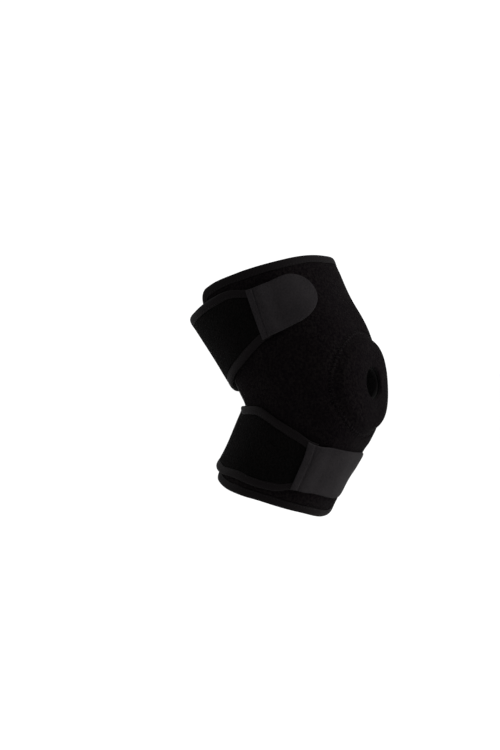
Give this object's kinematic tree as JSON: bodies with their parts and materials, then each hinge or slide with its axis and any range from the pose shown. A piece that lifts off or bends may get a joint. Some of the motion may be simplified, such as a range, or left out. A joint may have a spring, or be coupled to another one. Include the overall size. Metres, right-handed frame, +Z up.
{
  "type": "wrap-around knee support",
  "caption": "Neoprene knee support wrapped round a bent leg, with an open kneecap, a raised kneecap pad and two wide straps that close with hook tabs.",
  "frame": {"origin": "middle of the knee, on the middle line of the leg", "axes": "+Z up, -Y ahead of the kneecap, -X to the outer side of the leg, where the tabs close"},
  "size_m": [0.1472, 0.2166, 0.2744],
  "materials": {
    "neoprene": "black knitted loop face on neoprene foam, matt",
    "binding_tape": "black stretch binding tape, matt with a slight sheen",
    "hook_tape": "dark grey woven back of hook tape, matt"
  },
  "bodies": {
    "root": {"wrap_panel": "neoprene", "panel_binding": "binding_tape", "kneecap_pad": "neoprene", "upper_strap": "neoprene", "upper_strap_high_binding": "binding_tape", "upper_strap_low_binding": "binding_tape", "upper_hook_tab": "hook_tape", "lower_strap": "neoprene", "lower_strap_high_binding": "binding_tape", "lower_strap_low_binding": "binding_tape", "lower_hook_tab": "hook_tape"}
  },
  "joints": []
}
